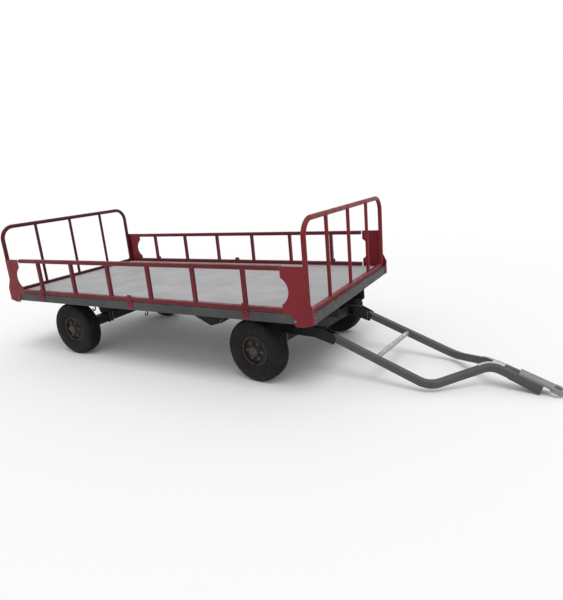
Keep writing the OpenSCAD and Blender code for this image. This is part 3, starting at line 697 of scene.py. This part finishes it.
def tyre_section(s, radius, half, points=140, wall_steps=300, tread_steps=500):
    """Section of a tyre as (radius, sideways) points, evenly spaced from bead to bead.

    Wall: sideways = half sqrt(1 - ((r - mid) / reach)^2), with reach set so that it meets the bead.
    Tread: (sideways / half)^n + ((r - mid) / high)^n = 1.
    """
    mid, high = (radius + s.bead_radius) / 2, (radius - s.bead_radius) / 2
    reach = high / math.sqrt(1 - (s.bead_half / half) ** 2)
    r_wall = np.linspace(s.bead_radius, mid, wall_steps)
    y_wall = half * np.sqrt(1 - ((r_wall - mid) / reach) ** 2)
    q = quarter(tread_steps)[1:]
    y_tread = half * np.cos(q).clip(0) ** (2 / s.squareness)
    r_tread = mid + high * np.sin(q) ** (2 / s.squareness)
    r = np.concatenate([r_wall, r_tread])
    y = np.concatenate([y_wall, y_tread])
    r, y = np.concatenate([r, r[-2::-1]]), np.concatenate([y, -y[-2::-1]])
    along = np.concatenate([[0], np.cumsum(np.hypot(np.diff(r), np.diff(y)))])
    even = np.linspace(0, along[-1], points)
    return np.interp(even, along, r), np.interp(even, along, y)


def smooth(x):
    """Smooth step from 0 at 0 to 1 at 1."""
    x = np.clip(x, 0, 1)
    return x * x * (3 - 2 * x)


def tyre_shell(place, s, radius, half):
    """Tyre: its section at every angle, sunk along the section's outward normal by grooves, slots and ribs.

    Rib grooves follow sideways = +-place + swing tri(lugs t); slots lie between shoulder lugs, at equal
    angles; rings on the walls are bell curves; the normal of the section (r, y) is (-dy, dr).
    """
    lug_columns, tread_fade, groove_edge = 8, 0.008, 0.0022
    shoulder, shoulder_fade = 0.031, 0.003
    ring_high, ring_half, rings_from_bead = 0.0011, 0.0022, (0.022, 0.030, 0.074, 0.080)
    r, y = tyre_section(s, radius, half)
    slope = unit(np.stack([np.gradient(r), np.gradient(y)], -1))
    out_r, out_y = -slope[:, 1:], slope[:, :1]
    t = angles(lug_columns * s.lugs)
    turn = (t * s.lugs / FULL_TURN)[None]
    side = y[:, None]
    on_tread = smooth((r - (radius - s.tread_reach)) / tread_fade)[:, None]
    swing = s.zigzag * (4 * np.abs(turn % 1 - 0.5) - 1)
    off_rib = np.abs(np.abs(side) - s.rib_place - swing)
    groove = smooth((s.rib_groove / 2 - off_rib) / groove_edge + 0.5)
    shift = np.where(side > 0, 0.0, 0.5)
    off_slot = np.abs((turn + shift) % 1 - 0.5) * FULL_TURN * radius / s.lugs
    slot = smooth((s.slot_width / 2 - off_slot) / groove_edge + 0.5)
    slot = slot * smooth((np.abs(side) - shoulder) / shoulder_fade)
    off_rings = [(r - s.bead_radius - at) / ring_half for at in rings_from_bead]
    rings = ring_high * sum(np.exp(-(off ** 2)) for off in off_rings)
    sunk = s.tread_depth * (np.maximum(groove, slot) * on_tread) - rings[:, None]
    deep_r, deep_y = r[:, None] - sunk * out_r, side - sunk * out_y
    grid = np.stack([deep_r * np.cos(t), deep_r * np.sin(t), deep_y], -1)
    return sheet(place.put(grid), wrap_rows=True, wrap_cols=True)


class TRAILER_OT_tyres(Operator):
    """Moulds the four tyres with ribs, lugs and walls, in place of the plain ones."""

    bl_idname = "trailer.tyres"
    bl_label = "Mould the tyres"

    def execute(self, context):
        s = context.scene.trailer_tyres
        for end, side in WHEELS:
            node = f"tyre_{end}_{side}"
            # The front tyres rest turned, so the rear ones give the width.
            low, high = box(f"tyre_rear_{side}")
            radius, half = (high[2] - low[2]) / 2, (high[1] - low[1]) / 2
            shell = tyre_shell(wheel_place(end, side), s, radius, half)
            tyre = make_piece(f"tread_tyre_{end}_{side}", [shell], "rubber", f"wheel_{end}_{side}",
                              sharp=50)
            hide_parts(node)
        return {"FINISHED"}


class TRAILER_OT_wheel_fittings(Operator):
    """Adds nuts, studs, grease cap and valve to each wheel."""

    bl_idname = "trailer.wheel_fittings"
    bl_label = "Fit the wheel nuts"

    def execute(self, context):
        s = context.scene.trailer_fastenings
        for end, side in WHEELS:
            wheel = wheel_place(end, side)
            body = f"wheel_{end}_{side}"
            make_piece(f"wheel_nuts_{end}_{side}", self.nuts(wheel, s), "nut_iron", body)
            make_piece(f"hub_cap_{end}_{side}", self.cap(wheel, s), "hub_brown", body)
            make_piece(f"valve_{end}_{side}", self.valve(wheel), "rubber", body)
        return {"FINISHED"}

    @staticmethod
    def nuts(wheel, s):
        """Nuts on studs round the disc, each on a cone seat; heights are from the disc's face."""
        r = s.nut_across / math.sqrt(3)
        flare, lip, seat = 0.0016, 0.0004, 0.003
        foot, shoulder, top, crown = 0.002, 0.0135, 0.0155, 0.84
        stud, tip, inside, rim, end = 0.0078, 0.0066, 0.01, 0.0215, 0.023
        cone = [(0, 0), (r + flare, 0), (r + lip, seat), (0, seat)]
        nut = [(0, foot), (r, foot), (r, shoulder), (crown * r, top), (0, top)]
        thread = [(0, inside), (stud, inside), (stud, rim), (tip, end), (0, end)]
        shells = []
        for i in range(s.nut_count):
            t = FULL_TURN * (i + 0.5) / s.nut_count
            at = wheel.at(s.nut_circle * math.cos(t), s.nut_circle * math.sin(t), s.disc_face)
            shells += [turned(at, cone), turned(at, nut, flats=6), turned(at, thread)]
        return shells

    @staticmethod
    def cap(wheel, s):
        """Domed grease cap with a rolled edge and a collar on the flange, each turned from one profile.

        A profile lists (out from the cap's radius, height from the wheel's middle).
        """
        dome_foot, dome_top, collar_top, steps = 0.046, 0.0705, 0.047, 48
        dome = [(0, dome_foot), (0.0012, 0.0475), (0.0012, 0.0525), (0, 0.054), (-0.003, 0.0555),
                (-0.0045, 0.0615), (-0.009, 0.0665), (-0.018, 0.0692), (-0.028, 0.0702)]
        collar = [(0.0055, s.disc_face), (0.0055, 0.0345), (0.003, 0.037), (0.0005, collar_top)]
        shells = []
        for foot, profile, top in ((dome_foot, dome, dome_top), (s.disc_face, collar, collar_top)):
            outline = [(s.cap_radius + out, h) for out, h in profile]
            shells.append(turned(wheel, [(0, foot), *outline, (0, top)], steps=steps))
        return shells

    @staticmethod
    def valve(wheel):
        """Valve stem on a bent path, (1 - q)^2 start + 2 q (1 - q) bend + q^2 end, with a cap."""
        stem, cap = 0.0032, 0.0042
        start, bend, end = np.array([[-0.088, 0, 0.027], [-0.088, 0, 0.05], [-0.099, 0, 0.058]])
        cap_way, cap_ends = np.array([0.8, 0, -0.6]), np.array([[-0.001], [-0.010]])
        q = np.linspace(0, 1, 9)[:, None]
        path = wheel.put((1 - q) ** 2 * start + 2 * q * (1 - q) * bend + q ** 2 * end)
        tip = wheel.put(end + cap_ends * cap_way)
        return [swept(path, wheel.axes[1], stem), swept(tip, wheel.axes[1], cap)]


class TRAILER_OT_gate_welds(Operator):
    """Lays weld beads where bars meet rails and hoops."""

    bl_idname = "trailer.gate_welds"
    bl_label = "Weld the gates"

    def execute(self, context):
        s = context.scene.trailer_fastenings
        for side in SIDES:
            body = f"side_gate_{side}"
            make_piece(f"gate_welds_{side}", self.side_gate(side, s), "bar_red", body)
        for end in ENDS:
            finish = finish_of(f"{end}_hoop")
            make_piece(f"hoop_welds_{end}", self.end_gate(end, s), finish, "chassis")
        return {"FINISHED"}

    @staticmethod
    def side_gate(side, s):
        """Two fillets across each end of each bar and a flush bead on its outer and inner face."""
        flush = 0.5
        low, high = box(f"gate_bars_{side}")
        half = (high[1] - low[1]) / 2
        shells = []
        for x in np.linspace(low[0] + half, high[0] - half, s.gate_bar_count):
            for z in (low[2], high[2]):
                for way in BOTH_WAYS:
                    at = x + way * half
                    shells.append(weld_line(s, [at, low[1], z], [at, high[1], z]))
                    y = (low[1] + high[1]) / 2 + way * half
                    shells.append(weld_line(s, [x - half, y, z], [x + half, y, z], flush))
        return shells

    @staticmethod
    def end_gate(end, s):
        """Rings at the feet of the hoop and bars, and saddles where bars run into the hoop's tube.

        A saddle is a bar's ring dropped onto the tube: z = top - sqrt(tube^2 - (ring x - x)^2).
        """
        light = 0.8
        low, high = box(f"{end}_hoop")
        tube = (high[0] - low[0]) / 2
        x, top, foot = (low[0] + high[0]) / 2, high[2] - tube, low[2]
        rail_low, rail_high = box(f"{end}_gate_bars")
        rail_top = foot + (rail_high[0] - rail_low[0])
        legs = [Place([x, y, foot], AHEAD, UP) for y in (low[1] + tube, high[1] - tube)]
        shells = [weld_ring(s, circle(leg, tube), UP) for leg in legs]
        for i in (-1, 0, 1):
            ring = circle(Place([x, i * s.end_bar_spacing, rail_top], AHEAD, UP), s.end_bar_radius)
            shells.append(weld_ring(s, ring, UP, light))
            ring[:, 2] = top - np.sqrt(tube ** 2 - (ring[:, 0] - x) ** 2)
            shells.append(weld_ring(s, ring, UP, light))
        return shells


class TRAILER_OT_frame_bolts(Operator):
    """Bolts the corner posts and rivets the hinge leaves to the frame."""

    bl_idname = "trailer.frame_bolts"
    bl_label = "Bolt the corner posts"

    def execute(self, context):
        s = context.scene.trailer_fastenings
        make_piece("frame_bolts", self.bolts(s), "zinc", "chassis")
        make_piece("hinge_rivets", self.rivets(s), "gate_red", "chassis")
        return {"FINISHED"}

    @staticmethod
    def bolts(s):
        """One bolt through each post's side and two smaller ones through its end, over the sill's foot."""
        side_in, side_up, side_head, side_washer = 0.124, 0.022, 0.0065, 0.0112
        end_in, end_ups, end_share, end_head, end_washer = 0.022, (0.016, 0.047), 0.8, 0.005, 0.0078
        _, high = box("corner_posts")
        foot = box("side_sills")[0][2]
        mid = DECK.origin[0]
        shells = []
        for end in BOTH_WAYS:
            face_x = mid + end * (high[0] - mid)
            for side in BOTH_WAYS:
                place = Place([face_x - end * side_in, side * high[1], foot + side_up], AHEAD, side * LEFT)
                shells += hex_bolt(place, s.bolt_across, side_head, side_washer)
                for up in end_ups:
                    place = Place([face_x, side * (high[1] - end_in), foot + up], LEFT, end * AHEAD)
                    shells += hex_bolt(place, end_share * s.bolt_across, end_head, end_washer)
        return shells

    @staticmethod
    def rivets(s):
        """Two low round heads on each hinge leaf, kept flat so that an open gate's strap clears them."""
        flatness, apart, rise = 0.42, 0.55, 0.4
        low, high = box("gate_hinge_leaves")
        face_y = box("corner_posts")[1][1]
        half, r = s.leaf_width / 2, s.rivet_radius
        q = quarter(6)
        head = [(0, 0), *zip(r * np.cos(q), flatness * r * np.sin(q))]
        shells = []
        for x in np.linspace(low[0] + half, high[0] - half, s.hinge_count):
            for side in BOTH_WAYS:
                for way in BOTH_WAYS:
                    at = [x + way * apart * half, side * face_y, low[2] + rise * half]
                    shells.append(turned(Place(at, AHEAD, side * LEFT), head))
        return shells


class TRAILER_OT_frame_welds(Operator):
    """Stitches the deck's ends to the end sills and the corner posts to the hoops."""

    bl_idname = "trailer.frame_welds"
    bl_label = "Weld the frame"

    def execute(self, context):
        s = context.scene.trailer_fastenings
        make_piece("deck_welds", self.deck(s), "frame_grey", "chassis")
        make_piece("post_welds", self.posts(s), "gate_red", "chassis")
        return {"FINISHED"}

    @staticmethod
    def deck(s):
        """Stitches spread evenly along both ends of the deck."""
        stitches = 8
        low, high = box("deck_plate")
        half, z = s.stitch / 2, low[2]
        middles = np.linspace(low[1], high[1], stitches + 2)[1:-1]
        ends = (low[0], high[0])
        return [weld_line(s, [x, y - half, z], [x, y + half, z]) for x in ends for y in middles]

    @staticmethod
    def posts(s):
        """Three stitches on each post, over the upper half of the side gate's height."""
        levels, first, short = 5, 2, 0.2
        side_low, side_high = box("side_sills")
        rail_low, rail_high = box("gate_rails_left")
        shells = []
        for end in ENDS:
            low, high = box(f"{end}_hoop")
            x = (low[0] + high[0]) / 2
            for y in (side_low[1], side_high[1]):
                for z in np.linspace(rail_low[2], rail_high[2], levels)[first:]:
                    shells.append(weld_line(s, [x, y, z - s.stitch], [x, y, z - short * s.stitch]))
        return shells


class TRAILER_OT_axle_bolts(Operator):
    """Clamps the axle beams with U-bolts."""

    bl_idname = "trailer.axle_bolts"
    bl_label = "Clamp the axles"

    def execute(self, context):
        s = context.scene.trailer_fastenings
        seat_half, pair_half, play, bend = 0.029, 0.017, 0.001, 0.010
        rear_rise, front_rise = 0.002, 0.024
        r = s.u_bolt_radius
        low, high = box("rear_axle_beam")
        half = (high[2] - low[2]) / 2 + r + play
        rear = Place([(low[0] + high[0]) / 2, 0, 0], AHEAD, UP)
        seat = box("rear_pedestals")[1][1] - seat_half
        jobs = (("rear", rear, seat, (-pair_half, pair_half), high[2] + rear_rise, "chassis"),
                ("front", BOGIE, s.arm_middle, (0,), high[2] + front_rise, "front_bogie"))
        for end, place, middle, shifts, top, body in jobs:
            places = [place.at(0, side * middle + shift, 0) for side in BOTH_WAYS for shift in shifts]
            shells = [u_bolt(at, half, low[2] - r, top, bend, r) for at in places]
            make_piece(f"axle_u_bolts_{end}", shells, "zinc", body)
        return {"FINISHED"}


class TRAILER_OT_drawbar_trim(Operator):
    """Adds the drawbar's welds and split pins."""

    bl_idname = "trailer.drawbar_trim"
    bl_label = "Finish the drawbar"

    def execute(self, context):
        s = context.scene.trailer_fastenings
        d = context.scene.trailer_drawbar
        make_piece("drawbar_welds", self.welds(s, d), "bar_grey", "drawbar")
        make_piece("split_pins", self.split_pins(s, d), "zinc", "front_bogie")
        return {"FINISHED"}

    @staticmethod
    def welds(s, d):
        """Rings round the cross tube's ends, and beads round the tongue and along the nose's edges."""
        tongue_bead, nose_bead = 0.9, 0.55
        top, low = d.neck + d.depth / 2, d.neck - d.depth / 2
        tail, cap, front = d.nose - d.tongue_back, d.nose - d.cap, d.nose - s.weld_radius
        shells = []
        for side in BOTH_WAYS:
            place = DRAWBAR.at(d.tie, side * d.tie_half, 0, turn_z=(0, side, 0))
            shells.append(weld_ring(s, circle(place, d.tie_radius), place.axes[2]))
            y, edge = side * d.tongue_half, side * d.nose_half
            beads = (([tail, y, top], [front, y, top], tongue_bead),
                     ([d.nose - d.wedge, edge, low], [front, edge, low], nose_bead),
                     ([cap, edge, low], [cap, edge, top], nose_bead))
            shells += [weld_line(s, DRAWBAR.put(a), DRAWBAR.put(b), size) for a, b, size in beads]
        back = DRAWBAR.put([[tail, -d.tongue_half, top], [tail, d.tongue_half, top]])
        return [*shells, weld_line(s, *back, tongue_bead)]

    @staticmethod
    def split_pins(s, d):
        """A pin with a wire eye through the inner collar of each hinge pin."""
        foot, head, radius = -0.024, 0.022, 0.0022
        eye_up, eye_radius, wire = 0.0255, 0.005, 0.0018
        shells = []
        for side in BOTH_WAYS:
            inner = Place(DRAWBAR.origin, BOGIE.axes[0], UP).at(0, side * (s.arm_middle - d.split_pin), 0)
            bar = inner.put([[0, 0, foot], [0, 0, head]])
            shells.append(swept(bar, inner.axes[1], radius, sides=8))
            eye = inner.at(0, 0, eye_up, turn_z=(0, 1, 0))
            shells.append(swept(circle(eye, eye_radius, 24), eye.axes[2], wire, sides=8, closed=True))
        return shells


class TRAILER_OT_tool_box(Operator):
    """Gives the tool box its lid, hinges and hasp."""

    bl_idname = "trailer.tool_box"
    bl_label = "Close the tool box"

    def execute(self, context):
        lid = dict(width=0.185, depth=0.085, thick=0.005, corner=0.012, edge=0.002)
        hasp = dict(width=0.030, depth=0.034, thick=0.006, corner=0.006, edge=0.002)
        lid_in, lid_up, hasp_down, lid_face = 0.105, 0.02, 0.036, 0.004
        hinge_out, hinge_up, hinge_half, hinge_radius = 0.06, 0.043, 0.016, 0.0045
        low, high = box("tool_box")
        face = Place([high[0] - lid_in, low[1], (low[2] + high[2]) / 2 + lid_up], AHEAD, -LEFT)
        shells = [slab(face, **lid), slab(face.at(0, hasp_down, lid_face), **hasp)]
        for way in BOTH_WAYS:
            hinge = face.at(way * hinge_out, -hinge_up, lid_face)
            bar = hinge.put([[-hinge_half, 0, 0], [hinge_half, 0, 0]])
            shells.append(swept(bar, hinge.axes[2], hinge_radius, sides=12))
        make_piece("tool_box_lid", shells, "under_black", "chassis")
        return {"FINISHED"}


class TRAILER_OT_studio(Operator):
    """Sets the floor, sun, sky and camera."""

    bl_idname = "trailer.studio"
    bl_label = "Set the studio"

    def execute(self, context):
        s = context.scene.trailer_studio
        context.scene.view_settings.view_transform = "Standard"
        self.floor(s)
        self.sky(context, s)
        self.light(s)
        self.camera(context, s)
        return {"FINISHED"}

    @staticmethod
    def floor(s):
        """A pale round floor that thins out towards its rim."""
        full, gone = 0.45 * s.floor_radius, 0.98 * s.floor_radius
        mid = DECK.origin + s.floor_ahead * AHEAD
        profile = [(share * s.floor_radius, 0) for share in (0, 0.5, 1)]
        mesh = joined("floor", [turned(Place(mid, AHEAD, UP), profile, steps=96)])
        f = Finish("studio_floor")
        f.feed(f.shader, {"Base Color": s.floor_white, "Roughness": 0.9, "Specular IOR Level": 0.1})
        from_mid = f.node("ShaderNodeMapping", {"Vector": f.coords, "Location": mid}, vector_type="TEXTURE")
        away = f.node("ShaderNodeVectorMath", {0: from_mid.outputs["Vector"]}, operation="LENGTH")
        thin = f.span(away.outputs["Value"], full, gone)
        clear = f.node("ShaderNodeBsdfTransparent")
        mix = f.node("ShaderNodeMixShader", {0: thin, 1: f.shader.outputs[0], 2: clear.outputs[0]})
        f.feed(f.tree.nodes["Material Output"], {"Surface": mix.outputs[0]})
        mesh.materials.append(f.material)
        floor = add_object("floor", mesh)

    @staticmethod
    def sky(context, s):
        """White to the camera, in reflections and through glass; softer as light."""
        world = bpy.data.worlds.new("studio_sky")
        world.use_nodes = True
        n = Nodes(world.node_tree)
        rays = n.node("ShaderNodeLightPath").outputs
        seen = n.math("MAXIMUM", rays["Is Glossy Ray"], rays["Is Transmission Ray"])
        seen = n.math("MAXIMUM", rays["Is Camera Ray"], seen)
        level = n.span(seen, 0, 1, s.sky, 1)
        n.feed(n.tree.nodes["Background"], {"Color": (1, 1, 1), "Strength": level})
        context.scene.world = world

    @staticmethod
    def light(s):
        """A wide sun over the near front corner, the same on all of the floor."""
        lamp = bpy.data.lights.new("sun", "SUN")
        lamp.energy = s.sun
        lamp.angle = s.sun_spread
        turn = Place(DECK.origin, LEFT, s.sun_from[:])
        add_object("sun", lamp).matrix_world = Matrix(turn.axes.T.tolist()).to_4x4()

    @staticmethod
    def camera(context, s):
        """Camera by azimuth, elevation and roll: back = (sin a cos e, -cos a cos e, sin e)."""
        sensor = 36
        a, e, r = s.azimuth, s.elevation, s.roll
        back = np.array([math.sin(a) * math.cos(e), -math.cos(a) * math.cos(e), math.sin(e)])
        level = np.array([math.cos(a), math.sin(a), 0])
        rise = np.cross(back, level)
        right = math.cos(r) * level + math.sin(r) * rise
        up = np.cross(back, right)
        lens = bpy.data.cameras.new("camera")
        lens.lens = s.lens
        lens.sensor_width = sensor
        lens.sensor_fit = "AUTO"
        camera = add_object("camera", lens)
        turn = Matrix(np.stack([right, up, back], 1).tolist()).to_4x4()
        camera.matrix_world = Matrix.Translation(DECK.put(s.camera_from_deck)) @ turn
        context.scene.camera = camera


class TRAILER_PT_dress(Panel):
    """Lists the trailer's settings and steps."""

    bl_idname = "TRAILER_PT_dress"
    bl_label = "Baggage Trailer"
    bl_space_type = "VIEW_3D"
    bl_region_type = "UI"
    bl_category = "Trailer"

    def draw(self, context):
        for group in SETTINGS:
            column = self.layout.column(align=True)
            settings = getattr(context.scene, group)
            for name in settings.__annotations__:
                column.prop(settings, name)
        for step in STEPS:
            self.layout.operator(step.bl_idname)


SETTINGS = {
    "trailer_paints": TrailerPaints,
    "trailer_tyres": TrailerTyres,
    "trailer_fastenings": TrailerFastenings,
    "trailer_drawbar": TrailerDrawbar,
    "trailer_studio": TrailerStudio,
}
STEPS = (
    TRAILER_OT_paint,
    TRAILER_OT_tyres,
    TRAILER_OT_wheel_fittings,
    TRAILER_OT_gate_welds,
    TRAILER_OT_frame_bolts,
    TRAILER_OT_frame_welds,
    TRAILER_OT_axle_bolts,
    TRAILER_OT_drawbar_trim,
    TRAILER_OT_tool_box,
    TRAILER_OT_studio,
)
CLASSES = (*SETTINGS.values(), *STEPS, TRAILER_PT_dress)


def register():
    """Registers the classes and hangs the settings on the scene."""
    for each in CLASSES:
        bpy.utils.register_class(each)
    for group, kind in SETTINGS.items():
        setattr(bpy.types.Scene, group, PointerProperty(type=kind))


def unregister():
    """Takes the settings and classes away again."""
    for group in SETTINGS:
        delattr(bpy.types.Scene, group)
    for each in reversed(CLASSES):
        bpy.utils.unregister_class(each)


def main():
    """Runs every step in order."""
    register()
    for step in STEPS:
        group, name = step.bl_idname.split(".")
        getattr(getattr(bpy.ops, group), name)()


if __name__ == "__main__":
    main()
